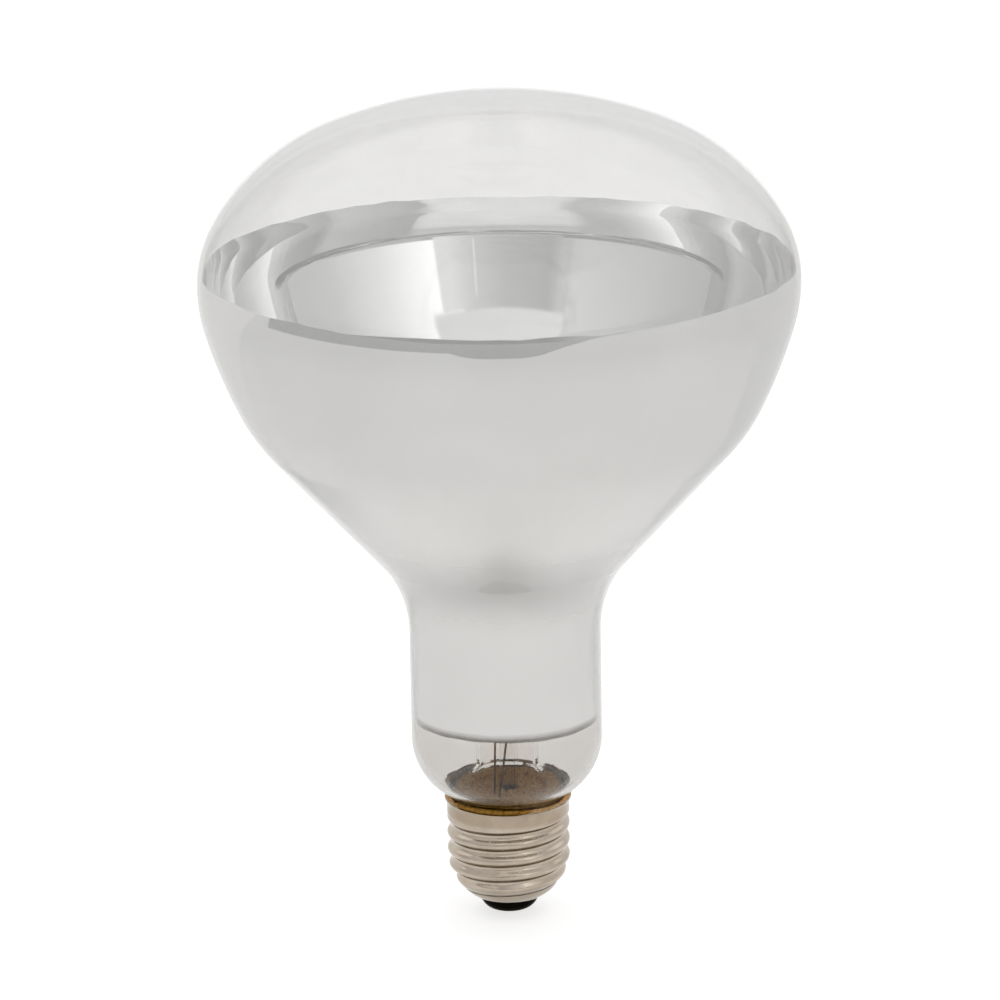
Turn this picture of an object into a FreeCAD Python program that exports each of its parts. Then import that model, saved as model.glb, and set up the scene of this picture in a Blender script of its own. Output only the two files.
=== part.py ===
import FreeCAD, Part
import math
import os
from FreeCAD import Vector

# A blown reflector lamp for infrared heat, standing on its centre contact with the dome upwards.
# Lengths are in millimetres and angles in degrees. The axis is Z, and the contact touches z = 0.

# Outline of the bulb, from the dome down to the neck
bulb_diameter = 125.0
dome_edge_radius = 43.5
dome_edge_turn = 38.5
shoulder_radius = 24.0
shoulder_turn = 29.0
brow_radius = 32.0
brow_turn = 16.0
side_radius = 108.0
side_turn = 9.5
hip_radius = 38.0
cone_angle = 42.0
throat_radius = 25.0
neck_diameter = 40.4
neck_length = 23.2
heel_radius = 14.0
waist_bend_radius = 3.45
glass_wall = 1.0

# Mirror film inside the glass
film_thickness = 0.2
film_gap = 0.05
film_above_equator = 3.9
film_end_above_heel = 4.3

# Screw cap of the 27 mm size
cap_height = 26.0
thread_major_diameter = 26.1
thread_minor_diameter = 24.0
thread_pitch = 3.629
thread_root_below_collar = 9.34
thread_fade_top = 1.4
thread_fade_bottom = 5.0
sheet_thickness = 0.3
collar_height = 3.1
rim_flare = 0.45
rim_flare_height = 1.6
taper_radius = 11.0
taper_turn = 66.5
shell_foot_height = 3.6

# Insulator, contact and solder under the cap
insulator_clearance = 0.1
insulator_height_in_shell = 2.5
insulator_dish = 0.9
insulator_bulge = 0.3
insulator_base_radius = 4.7
insulator_bore_radius = 1.3
contact_radius = 4.0
contact_thickness = 0.3
contact_hole_radius = 0.8
eyelet_wall = 0.25
eyelet_height = 1.6
solder_height = 0.9
solder_radius = 2.2
solder_flat_radius = 1.0
solder_plug_height = 0.6
solder_bulge_reach = 0.8
solder_bulge_rise = 0.35
side_solder_length = 2.6
side_solder_width = 0.8
side_solder_height = 0.6

# Cement ring that holds the glass in the collar
cement_thickness = 0.75
cement_gap = 0.05
cement_floor = 1.6
cement_inner_radius = 8.0
cement_bead = 0.35
cement_slot_clearance = 0.2

# Glass stem
seal_depth = 2.8
waist_drop = 1.0
seal_gap = 0.05
stem_wall = 0.9
skirt_turn = 40.0
stem_rim_radius = 1.3
trumpet_rise = 12.0
trumpet_radius = 3.0
stem_diameter = 13.2
stem_height = 36.0
press_blend_height = 8.0
press_height = 6.0
press_width = 15.0
press_depth = 5.2
exhaust_diameter = 4.4
exhaust_wall = 0.7
exhaust_tip_height = 13.0
exhaust_tip_radius = 0.9
exhaust_tip_slope = 72.0
blow_hole_radius = 0.8
blow_hole_height = 3.5

# Arbor, wires and filament
arbor_diameter = 3.6
button_diameter = 6.8
button_height = 3.8
filament_above_throat = 37.0
filament_ring_radius = 15.0
filament_coil_diameter = 1.3
filament_sweep = 280.0
filament_tail = 1.4
filament_corner_radius = 2.0
support_count = 5
support_wire_diameter = 0.5
support_rise = 5.0
support_root_radius = 1.6
hook_clearance = 0.15
clamp_clearance = 0.05
lead_spacing = 9.0
inner_lead_diameter = 0.8
inner_lead_straight = 8.0
inner_lead_bend = 3.0
seal_wire_diameter = 0.6
wire_fit = 0.03
outer_lead_diameter = 0.45
outer_lead_bend = 2.0
outer_lead_start = 2.0
centre_lead_top_angle = 275
centre_lead_low_angle = 248
centre_lead_cap_angle = 240
side_lead_top_angle = 240
side_lead_low_angle = 234
side_lead_cap_angle = 200
side_lead_bend = 1.0
bend_share = 0.45

# Fineness and seam of the rolled screw surface
front_angle = 270
seam_angle = 90
shell_columns = 40
taper_rows = 22
rows_per_turn = 16
fewest_rows = 8
edge_match = 0.0005


def cos(angle):
    return math.cos(math.radians(angle))


def sin(angle):
    return math.sin(math.radians(angle))


# Sizes that follow from the outline
bulb_radius = bulb_diameter / 2
neck_radius = neck_diameter / 2
dome_turn = shoulder_turn + dome_edge_turn
dome_edge_reach = dome_edge_radius * (cos(shoulder_turn) - cos(dome_turn))
shoulder_reach = shoulder_radius * (1 - cos(shoulder_turn))
dome_radius = (bulb_radius - dome_edge_reach - shoulder_reach) / cos(dome_turn)
dome_height = (
    dome_radius * (1 - sin(dome_turn))
    + dome_edge_radius * (sin(dome_turn) - sin(shoulder_turn))
    + shoulder_radius * sin(shoulder_turn)
)
hip_start = brow_turn + side_turn
hip_turn = cone_angle - hip_start
hip_end_radius = (
    bulb_radius
    - brow_radius * (1 - cos(brow_turn))
    - side_radius * (cos(brow_turn) - cos(hip_start))
    - hip_radius * (cos(hip_start) - cos(cone_angle))
)
cone_run = (hip_end_radius - throat_radius * (1 - cos(cone_angle)) - neck_radius) / sin(cone_angle)
bowl_depth = (
    brow_radius * sin(brow_turn)
    + side_radius * (sin(hip_start) - sin(brow_turn))
    + hip_radius * (sin(cone_angle) - sin(hip_start))
    + cone_run * cos(cone_angle)
    + throat_radius * sin(cone_angle)
)

# Sizes that follow from the cap
thread_radius = thread_major_diameter / 2
thread_depth = (thread_major_diameter - thread_minor_diameter) / 2
thread_top = cap_height - collar_height
thread_root_front = thread_top - thread_root_below_collar
knuckle_radius = (thread_pitch ** 2 / 4 + thread_depth ** 2) / (4 * thread_depth)
taper_top = shell_foot_height + taper_radius * sin(taper_turn)
taper_centre_radius = thread_radius - taper_radius
collar_inner_radius = thread_radius - sheet_thickness

# Heights along the lamp
waist_radius = collar_inner_radius - cement_thickness
seal_height = cap_height - seal_depth
waist_top = cap_height - waist_drop
heel_turn = math.degrees(math.acos(1 - (neck_radius - waist_radius) / (heel_radius + waist_bend_radius)))
heel_height = waist_top + (heel_radius + waist_bend_radius) * sin(heel_turn)
throat_height = heel_height + neck_length
equator_height = throat_height + bowl_depth
overall_length = equator_height + dome_height
film_top = equator_height + film_above_equator
film_bottom = heel_height + film_end_above_heel
press_base = cap_height + stem_height
press_top = press_base + press_blend_height + press_height
filament_height = throat_height + filament_above_throat
button_middle = filament_height - support_rise
lead_offset = lead_spacing / 2
stem_radius = stem_diameter / 2
cement_bottom = seal_height - cement_floor
insulator_top = shell_foot_height + insulator_height_in_shell
insulator_base = solder_height + contact_thickness
solder_top = solder_height + solder_plug_height
side_run_height = cement_bottom - outer_lead_diameter
side_lead_radius = waist_radius + cement_gap + outer_lead_diameter / 2
side_lead_turns = (side_run_height + outer_lead_diameter / 2 - thread_root_front) / thread_pitch
side_lead_angle = front_angle + 360 * (side_lead_turns - 0.5)
outer_lead_reach = stem_radius - stem_wall - 2 * outer_lead_diameter


# Drawing helpers

def at(radius, height):
    return Vector(radius, 0, height)


def around(radius, angle, height):
    return Vector(radius * cos(angle), radius * sin(angle), height)


def line(start, end):
    return Part.LineSegment(start, end).toShape()


def arc(start, middle, end):
    return Part.Arc(start, middle, end).toShape()


def tangent_chain(start, heading, moves, shift=0.0):
    """Edges of a smooth chain in the XZ plane.

    A move is (length, 0) for a straight run, or (radius, turn) for an arc, with left turns positive.
    The whole chain lies shift to the left of the line that its moves describe.
    """
    place = start + Vector(-sin(heading), 0, cos(heading)) * shift
    edges = []
    for size, turn in moves:
        if turn == 0:
            end = place + Vector(cos(heading), 0, sin(heading)) * size
            edges.append(line(place, end))
        else:
            side = math.copysign(1, turn)
            radius = size - side * shift
            centre = place + Vector(-sin(heading), 0, cos(heading)) * (side * radius)
            half = heading + turn / 2
            heading = heading + turn
            middle = centre + Vector(sin(half), 0, -cos(half)) * (side * radius)
            end = centre + Vector(sin(heading), 0, -cos(heading)) * (side * radius)
            edges.append(arc(place, middle, end))
        place = end
    return edges


def first_point(edges):
    return edges[0].valueAt(edges[0].FirstParameter)


def last_point(edges):
    return edges[-1].valueAt(edges[-1].LastParameter)


def closed_face(*chains):
    """Face in the XZ plane whose outline runs along the chains, with straight lines between them."""
    outline = []
    for number, chain in enumerate(chains):
        following = chains[(number + 1) % len(chains)]
        outline.extend(chain)
        if last_point(chain).distanceToPoint(first_point(following)) > 1e-6:
            outline.append(line(last_point(chain), first_point(following)))
    return Part.Face(Part.Wire(Part.__sortEdges__(outline)))


def polygon(*points):
    return [line(a, b) for a, b in zip(points, points[1:])]


def revolved(face):
    return face.revolve(Vector(0, 0, 0), Vector(0, 0, 1), 360)


def reversed_chain(edges):
    chain = []
    for edge in reversed(edges):
        start = edge.valueAt(edge.LastParameter)
        end = edge.valueAt(edge.FirstParameter)
        if isinstance(edge.Curve, Part.Circle):
            middle = edge.valueAt((edge.FirstParameter + edge.LastParameter) / 2)
            chain.append(arc(start, middle, end))
        else:
            chain.append(line(start, end))
    return chain


def rounded_path(points, bend):
    """Straight runs joined by tangent arcs, with smaller arcs where the runs are short."""
    edges = []
    place = points[0]
    for before, corner, after in zip(points, points[1:], points[2:]):
        inward = (before - corner).normalize()
        outward = (after - corner).normalize()
        turn = math.pi - inward.getAngle(outward)
        room = bend_share * min((before - corner).Length, (after - corner).Length)
        cut = min(bend * math.tan(turn / 2), room)
        radius = cut / math.tan(turn / 2)
        towards = (inward + outward).normalize()
        middle = corner + towards * (radius / math.cos(turn / 2) - radius)
        edges.append(line(place, corner + inward * cut))
        edges.append(arc(corner + inward * cut, middle, corner + outward * cut))
        place = corner + outward * cut
    edges.append(line(place, points[-1]))
    return edges


def bent_wire(points, bend, diameter):
    """Round wire along the points."""
    path = Part.Wire(rounded_path(points, bend))
    section = Part.Wire(Part.makeCircle(diameter / 2, points[0], points[1] - points[0]))
    return path.makePipeShell([section], True, False)


def hook(centre, angle, inner_radius, diameter):
    """Wire loop whose axis follows the filament at that angle around the lamp."""
    direction = Vector(-sin(angle), cos(angle), 0)
    return Part.makeTorus(inner_radius + diameter / 2, diameter / 2, centre, direction)


# Glass envelope and mirror film

def envelope_chain(depth):
    """Meridian of the bulb from the dome's top to the seal, at that depth under the outer skin."""
    moves = [
        (dome_radius, dome_turn - 90),
        (dome_edge_radius, -dome_edge_turn),
        (shoulder_radius, -shoulder_turn),
        (brow_radius, -brow_turn),
        (side_radius, -side_turn),
        (hip_radius, -hip_turn),
        (cone_run, 0),
        (throat_radius, cone_angle),
        (neck_length, 0),
        (heel_radius, -heel_turn),
        (waist_bend_radius, heel_turn),
        (waist_top - seal_height, 0),
    ]
    return tangent_chain(at(0, overall_length), 0, moves, -depth)


def layer(outer_depth, inner_depth):
    return revolved(closed_face(envelope_chain(outer_depth), reversed_chain(envelope_chain(inner_depth))))


def make_glass_envelope():
    return layer(0, glass_wall)


def make_reflector_film():
    depth = glass_wall + film_gap
    film = layer(depth, depth + film_thickness)
    slab = Part.makeCylinder(bulb_diameter, film_top - film_bottom, at(0, film_bottom))
    return film.common(slab)


# Glass stem

def stem_chain(depth):
    """Skirt, rolled rim, trumpet and tube of the stem, at that depth under its outer skin."""
    skin = glass_wall + seal_gap
    rim_turn = skirt_turn + 90 - trumpet_rise
    rim_start = waist_radius - skin + (waist_bend_radius + skin) * (1 - cos(skirt_turn))
    rim_end = rim_start - stem_rim_radius * (cos(skirt_turn) - cos(skirt_turn - rim_turn))
    trumpet_start = stem_radius + trumpet_radius * (1 - sin(trumpet_rise))
    run = (rim_end - trumpet_start) / cos(trumpet_rise)
    skirt_height = waist_top + (waist_bend_radius + skin) * sin(skirt_turn)
    rim_rise = stem_rim_radius * (sin(skirt_turn) + cos(trumpet_rise))
    tube_start = skirt_height + rim_rise + run * sin(trumpet_rise) + trumpet_radius * cos(trumpet_rise)
    moves = [
        (waist_top - seal_height, 0),
        (waist_bend_radius + skin, -skirt_turn),
        (stem_rim_radius, rim_turn),
        (run, 0),
        (trumpet_radius, trumpet_rise - 90),
        (press_base - tube_start, 0),
    ]
    return tangent_chain(at(waist_radius - skin, seal_height), 90, moves, depth)


def press_section(width, depth, height):
    if width > depth:
        curve = Part.Ellipse(at(0, height), width / 2, depth / 2)
    else:
        curve = Part.Circle(at(0, height), Vector(0, 0, 1), width / 2)
    return Part.Wire(curve.toShape())


def make_stem_flare():
    tube = revolved(closed_face(stem_chain(0), reversed_chain(stem_chain(stem_wall))))
    round_end = press_section(stem_diameter, stem_diameter, press_base)
    flat_end = press_section(press_width, press_depth, press_base + press_blend_height)
    blend = Part.makeLoft([round_end, flat_end], True)
    press = Part.Face(flat_end).extrude(Vector(0, 0, press_height))
    stem = tube.fuse([blend, press]).removeSplitter()
    bores = []
    for side in (-1, 1):
        base = Vector(side * lead_offset, 0, press_base)
        bores.append(Part.makeCylinder(seal_wire_diameter / 2 + wire_fit, press_top - press_base, base))
    bores.append(Part.makeCylinder(blow_hole_radius, blow_hole_height, at(0, press_base)))
    side_hole = at(0, press_base + blow_hole_height)
    bores.append(Part.makeCylinder(blow_hole_radius, stem_diameter, side_hole, Vector(0, 1, 0)))
    return stem.cut(bores)


def make_exhaust_tube():
    """Thin tube from the press into the cap, drawn to a closed tip."""
    outer = exhaust_diameter / 2
    inner = outer - exhaust_wall
    run = (outer - exhaust_tip_radius * sin(exhaust_tip_slope)) / cos(exhaust_tip_slope)
    tip = [(exhaust_tip_radius, exhaust_tip_slope), (run, 0)]
    skin = tangent_chain(at(0, exhaust_tip_height), 0, tip)
    shoulder = last_point(skin).z
    wall = polygon(at(outer, shoulder), at(outer, press_base))
    bore = polygon(at(inner, press_base), at(inner, shoulder), at(0, shoulder - inner))
    return revolved(closed_face(skin, wall, bore))


def make_arbor(sockets):
    rod = Part.makeCylinder(arbor_diameter / 2, button_middle - press_top, at(0, press_top))
    ball = Part.makeSphere(button_diameter / 2)
    squash = FreeCAD.Matrix()
    squash.scale(1, 1, button_height / button_diameter)
    button = ball.transformGeometry(squash)
    button.translate(at(0, button_middle))
    return rod.fuse(button).cut(sockets)


# Filament, supports and inner leads

def filament_angles():
    """Angles of the two clamps and of the hooks between them, from right to left round the back."""
    start = front_angle + (360 - filament_sweep) / 2
    step = filament_sweep / (support_count + 1)
    return [start + step * number for number in range(support_count + 2)]


def corner_inset():
    half = filament_sweep / (support_count + 1) / 2
    return filament_corner_radius * (1 / cos(half) - 1)


def make_filament():
    corners = [around(filament_ring_radius, angle, filament_height) for angle in filament_angles()]
    first = corners[0] + (corners[0] - corners[1]).normalize() * filament_tail
    last = corners[-1] + (corners[-1] - corners[-2]).normalize() * filament_tail
    route = [first] + corners[1:-1] + [last]
    return bent_wire(route, filament_corner_radius, filament_coil_diameter)


def support_line(angle):
    """Straight part of a support, from inside the button to the bottom of its hook."""
    loop = filament_coil_diameter / 2 + hook_clearance + support_wire_diameter / 2
    root = around(support_root_radius, angle, button_middle)
    tip = around(filament_ring_radius - corner_inset(), angle, filament_height - loop)
    return root, tip


def make_support(angle):
    root, tip = support_line(angle)
    rod = Part.makeCylinder(support_wire_diameter / 2, (tip - root).Length, root, tip - root)
    centre = around(filament_ring_radius - corner_inset(), angle, filament_height)
    loop = hook(centre, angle, filament_coil_diameter / 2 + hook_clearance, support_wire_diameter)
    return rod.fuse(loop)


def make_support_socket(angle):
    root, tip = support_line(angle)
    return Part.makeCylinder(support_wire_diameter / 2 + wire_fit, button_diameter, root, tip - root)


def make_inner_lead(side, angle, chord_angle):
    """Stiff wire from the press to a clamp loop round the end of the filament."""
    grip = filament_coil_diameter / 2 + clamp_clearance
    centre = around(filament_ring_radius, angle, filament_height)
    clamp = centre - Vector(0, 0, grip + inner_lead_diameter / 2)
    foot = Vector(side * lead_offset, 0, press_top)
    knee = foot + Vector(0, 0, inner_lead_straight)
    neck = clamp - Vector(0, 0, inner_lead_straight / 2)
    wire = bent_wire([foot, knee, neck, clamp], inner_lead_bend, inner_lead_diameter)
    return wire.fuse(hook(centre, chord_angle, grip, inner_lead_diameter))


def make_seal_wire(side):
    base = Vector(side * lead_offset, 0, press_base)
    return Part.makeCylinder(seal_wire_diameter / 2, press_top - press_base, base)


# Outer leads, which run together down the front of the stem tube into the cap

def make_outer_lead_centre():
    route = [
        Vector(lead_offset, 0, press_base),
        Vector(lead_offset, 0, press_base - outer_lead_start),
        around(outer_lead_reach, centre_lead_top_angle, film_bottom),
        around(outer_lead_reach, centre_lead_low_angle, cap_height + waist_drop),
        around(outer_lead_reach, centre_lead_cap_angle, exhaust_tip_height),
        at(0, insulator_top),
        at(0, solder_top),
    ]
    return bent_wire(route, outer_lead_bend, outer_lead_diameter)


def make_outer_lead_side():
    route = [
        Vector(-lead_offset, 0, press_base),
        Vector(-lead_offset, 0, press_base - outer_lead_start),
        around(outer_lead_reach, side_lead_top_angle, film_bottom),
        around(outer_lead_reach, side_lead_low_angle, cap_height + waist_drop),
        around(outer_lead_reach, side_lead_cap_angle, side_run_height),
        around(side_lead_radius, side_lead_angle, side_run_height),
        around(side_lead_radius, side_lead_angle, waist_top - outer_lead_diameter),
        side_lead_tip(2 * outer_lead_diameter),
        side_lead_tip(0),
    ]
    return bent_wire(route, side_lead_bend, outer_lead_diameter)


# Screw cap

def knuckle_drop(turns):
    """Depth of the rolled thread under its crest, for a place counted in turns from a root."""
    away = abs(turns - round(turns)) * thread_pitch
    if away < thread_pitch / 4:
        return thread_depth - knuckle_radius + math.sqrt(knuckle_radius ** 2 - away ** 2)
    from_crest = thread_pitch / 2 - away
    return knuckle_radius - math.sqrt(knuckle_radius ** 2 - from_crest ** 2)


def smooth_step(value):
    value = min(max(value, 0), 1)
    return value * value * (3 - 2 * value)


def thread_strength(height):
    """Share of the full thread depth, which dies away at both ends of the thread."""
    above_foot = (height - insulator_top + insulator_dish) / thread_fade_bottom
    below_collar = (thread_top - height) / thread_fade_top
    return smooth_step(above_foot) * smooth_step(below_collar)


def shell_meridian():
    """Places up the shell without its thread, as radius, height and outward direction."""
    places = []
    for number in range(taper_rows):
        turn = taper_turn * (1 - number / taper_rows)
        radius = taper_centre_radius + taper_radius * cos(turn)
        places.append((radius, taper_top - taper_radius * sin(turn), -turn))
    straight_rows = max(fewest_rows, round((thread_top - taper_top) / thread_pitch * rows_per_turn))
    for number in range(straight_rows + 1):
        height = taper_top + (thread_top - taper_top) * number / straight_rows
        places.append((thread_radius, height, 0))
    return places


def shell_skin(depth):
    """Rolled screw surface at that depth under the outer skin, right handed."""
    rows = []
    for radius, height, lean in shell_meridian():
        row = []
        for column in range(shell_columns + 1):
            angle = seam_angle + 360 * (column % shell_columns) / shell_columns
            turns = (height - thread_root_front) / thread_pitch - (angle - front_angle) / 360
            sunk = depth + knuckle_drop(turns) * thread_strength(height)
            row.append(around(radius - sunk * cos(lean), angle, height - sunk * sin(lean)))
        rows.append(row)
    surface = Part.BSplineSurface()
    surface.interpolate(rows)
    return surface.toShape()


def collar_chain(depth):
    """Plain collar and its flared rim, at that depth under the outer skin."""
    flare_turn = 2 * math.degrees(math.atan(rim_flare / rim_flare_height))
    flare_radius = rim_flare_height / sin(flare_turn)
    moves = [(collar_height - rim_flare_height, 0), (flare_radius, -flare_turn)]
    return tangent_chain(at(thread_radius, thread_top), 90, moves, depth)


def inner_rim():
    """Inner edge of the flared rim, which is its highest."""
    return last_point(collar_chain(sheet_thickness))


def glass_radius_at_rim():
    rise = inner_rim().z - waist_top
    return waist_radius + waist_bend_radius - math.sqrt(waist_bend_radius ** 2 - rise ** 2)


def side_lead_tip(below_rim):
    """Place near the end of the side lead, beside the glass."""
    radius = glass_radius_at_rim() + cement_gap + outer_lead_diameter / 2
    return around(radius, side_lead_angle, inner_rim().z - below_rim)


def swept_faces(edges):
    """Faces of revolution whose seams lie at the back, where the screw surface has its own."""
    faces = [edge.revolve(Vector(0, 0, 0), Vector(0, 0, 1), 360) for edge in edges]
    for face in faces:
        face.rotate(Vector(0, 0, 0), Vector(0, 0, 1), seam_angle)
    return faces


def make_cap_shell():
    outer = collar_chain(0)
    inner = collar_chain(sheet_thickness)
    foot_outer = shell_meridian()[0]
    foot_inner_radius = foot_outer[0] - sheet_thickness * cos(foot_outer[2])
    foot_inner_height = foot_outer[1] - sheet_thickness * sin(foot_outer[2])
    foot = line(at(foot_outer[0], foot_outer[1]), at(foot_inner_radius, foot_inner_height))
    lip = line(last_point(outer), last_point(inner))
    plain_faces = swept_faces(outer + inner + [foot, lip])
    joined = shell_skin(0).generalFuse([shell_skin(sheet_thickness)] + plain_faces, edge_match)[0]
    shell = Part.makeShell(joined.Faces)
    shell.sewShape()
    return Part.makeSolid(shell)


def make_cap_insulator():
    fit = taper_radius - sheet_thickness - insulator_clearance
    top_turn = math.degrees(math.asin((taper_top - insulator_top) / fit))
    seat_top = at(taper_centre_radius + fit * cos(top_turn), insulator_top)
    middle_turn = (top_turn + taper_turn) / 2
    seat_middle = at(taper_centre_radius + fit * cos(middle_turn), taper_top - fit * sin(middle_turn))
    seat_foot = at(taper_centre_radius + fit * cos(taper_turn), taper_top - fit * sin(taper_turn))
    base = at(insulator_base_radius, insulator_base)
    bulge = (base + seat_foot) / 2 + at(insulator_bulge, -insulator_bulge)
    skin = [arc(seat_top, seat_middle, seat_foot), arc(seat_foot, bulge, base)]
    well = polygon(
        at(insulator_bore_radius, insulator_base),
        at(insulator_bore_radius, insulator_top - insulator_dish),
        seat_top,
    )
    return revolved(closed_face(skin, well))


def make_contact_plate():
    plate = Part.makeCylinder(contact_radius, contact_thickness, at(0, solder_height))
    eyelet = Part.makeCylinder(contact_hole_radius + eyelet_wall, eyelet_height, at(0, insulator_base))
    hole = Part.makeCylinder(contact_hole_radius, cap_height, at(0, 0))
    return plate.fuse(eyelet).cut(hole).removeSplitter()


def make_centre_solder():
    dome_middle = at(solder_bulge_reach * solder_radius, solder_bulge_rise * solder_height)
    dome = [line(at(0, 0), at(solder_flat_radius, 0))]
    dome.append(arc(at(solder_flat_radius, 0), dome_middle, at(solder_radius, solder_height)))
    plug_radius = contact_hole_radius - wire_fit
    plug = polygon(at(plug_radius, solder_height), at(plug_radius, solder_top), at(0, solder_top))
    return revolved(closed_face(dome, plug))


def make_side_solder():
    drop = Part.makeSphere(1, Vector(0, 0, 0), Vector(0, 0, 1), 0, 90, 360)
    stretch = FreeCAD.Matrix()
    stretch.scale(side_solder_width / 2, side_solder_length / 2, side_solder_height)
    drop = drop.transformGeometry(stretch)
    drop.rotate(Vector(0, 0, 0), Vector(0, 0, 1), side_lead_angle)
    middle = (glass_radius_at_rim() + inner_rim().x) / 2
    drop.translate(around(middle, side_lead_angle, inner_rim().z))
    return drop


# Cement

def make_capping_cement():
    """Putty that fills the collar and wraps the lower edge of the sealed glass."""
    bead_top = cap_height + cement_bead
    bend = waist_bend_radius - cement_gap
    bead_turn = math.degrees(math.asin((bead_top - waist_top) / bend))
    outside = tangent_chain(
        at(waist_radius + cement_gap, seal_height - cement_gap),
        90,
        [(waist_top - seal_height + cement_gap, 0), (bend, -bead_turn)],
    )
    inside = stem_chain(stem_wall + cement_gap)
    shelf = inside[:4]
    collar = reversed_chain(collar_chain(sheet_thickness + cement_gap))
    floor_radius = waist_radius - glass_wall / 2
    bottom = polygon(
        at(floor_radius, thread_top),
        at(floor_radius, cement_bottom),
        at(cement_inner_radius, cement_bottom),
        at(cement_inner_radius, last_point(shelf).z - stem_wall),
    )
    groove = polygon(first_point(shelf), at(first_point(shelf).x, seal_height - cement_gap))
    ring = revolved(closed_face(outside, collar, bottom, reversed_chain(shelf), groove))
    lead_slot = make_slot(outer_lead_diameter, side_run_height)
    solder_slot = make_slot(side_solder_length, cap_height)
    return ring.cut([lead_slot, solder_slot])


def make_slot(width, height):
    """Radial cutter above that height, which leaves room for the side lead or its solder."""
    width = width + 2 * cement_slot_clearance
    corner = Vector(waist_radius - glass_wall, -width / 2, height)
    slot = Part.makeBox(cap_height, width, cap_height, corner)
    slot.rotate(Vector(0, 0, 0), Vector(0, 0, 1), side_lead_angle)
    return slot


def main():
    angles = filament_angles()
    support_angles = angles[1:-1]
    right_chord = (angles[0] + angles[1]) / 2
    left_chord = (angles[-1] + angles[-2]) / 2
    pieces = {
        "glass_envelope": make_glass_envelope(),
        "reflector_film": make_reflector_film(),
        "stem_flare": make_stem_flare(),
        "exhaust_tube": make_exhaust_tube(),
        "arbor": make_arbor([make_support_socket(angle) for angle in support_angles]),
        "filament": make_filament(),
        "inner_lead_right": make_inner_lead(1, angles[0], right_chord),
        "inner_lead_left": make_inner_lead(-1, angles[-1], left_chord),
        "seal_wire_right": make_seal_wire(1),
        "seal_wire_left": make_seal_wire(-1),
        "outer_lead_centre": make_outer_lead_centre(),
        "outer_lead_side": make_outer_lead_side(),
        "cap_shell": make_cap_shell(),
        "cap_insulator": make_cap_insulator(),
        "contact_plate": make_contact_plate(),
        "centre_solder": make_centre_solder(),
        "side_solder": make_side_solder(),
        "capping_cement": make_capping_cement(),
    }
    for number, angle in enumerate(support_angles, 1):
        pieces[f"filament_support_{number}"] = make_support(angle)
    os.makedirs("parts", exist_ok=True)
    for name, shape in pieces.items():
        shape.exportStep(f"parts/{name}.step")
        print(name, shape.ShapeType, len(shape.Solids), shape.isValid(), round(shape.Volume, 2))
    print("overall length", round(overall_length, 2), "equator", round(equator_height, 2))


main()
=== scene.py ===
import math

import bmesh
import bpy
import numpy as np
from mathutils import Matrix, Vector, noise


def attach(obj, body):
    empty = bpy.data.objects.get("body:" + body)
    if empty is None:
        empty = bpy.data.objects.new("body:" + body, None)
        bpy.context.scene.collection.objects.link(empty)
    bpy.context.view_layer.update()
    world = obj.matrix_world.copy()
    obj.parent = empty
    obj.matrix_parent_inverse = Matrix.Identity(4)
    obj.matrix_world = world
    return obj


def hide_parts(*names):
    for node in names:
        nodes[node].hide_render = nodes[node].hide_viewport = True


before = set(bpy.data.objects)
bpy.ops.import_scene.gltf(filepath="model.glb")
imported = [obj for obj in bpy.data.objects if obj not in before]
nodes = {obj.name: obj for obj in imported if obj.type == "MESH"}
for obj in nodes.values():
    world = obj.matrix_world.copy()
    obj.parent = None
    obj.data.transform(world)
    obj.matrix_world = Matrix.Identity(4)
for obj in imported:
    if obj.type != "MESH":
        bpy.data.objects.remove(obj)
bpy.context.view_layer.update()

MM = 0.001
scene = bpy.context.scene


# Sizes of the lamp, in millimetres and degrees, as in the part's source

bulb_radius = 62.5
overall_length = 177.35
dome_edge_radius, dome_edge_turn = 43.5, 38.5
shoulder_radius, shoulder_turn = 24.0, 29.0
brow_radius, brow_turn = 32.0, 16.0
side_radius, side_turn = 108.0, 9.5
hip_radius, cone_angle = 38.0, 42.0
throat_radius = 25.0
neck_radius, neck_length = 20.2, 23.2
heel_radius = 14.0
waist_bend_radius, waist_radius = 3.45, 12.0
waist_top, seal_height = 25.0, 23.2
glass_wall = 1.0
film_gap, film_thickness = 0.05, 0.2
film_top, film_bottom = 142.94, 44.1
thread_root_front, thread_pitch, thread_top = 13.56, 3.629, 22.9
filament_height, filament_ring_radius, filament_sweep = 100.0, 15.0, 280.0
filament_coil_radius, filament_supports = 0.65, 5
cap_height, rim_radius = 26.0, 13.5
cement_bead, cement_hole_radius = 0.35, 8.0
exhaust_tube_radius = 2.2

# Fineness of the meshes, and the radius in millimetres under which a ring is a point on the axis

glass_segments = 180
film_segments = 480
axis_radius = 1e-6


# Outline of the bulb

def cos(angle):
    return math.cos(math.radians(angle))


def sin(angle):
    return math.sin(math.radians(angle))


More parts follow.
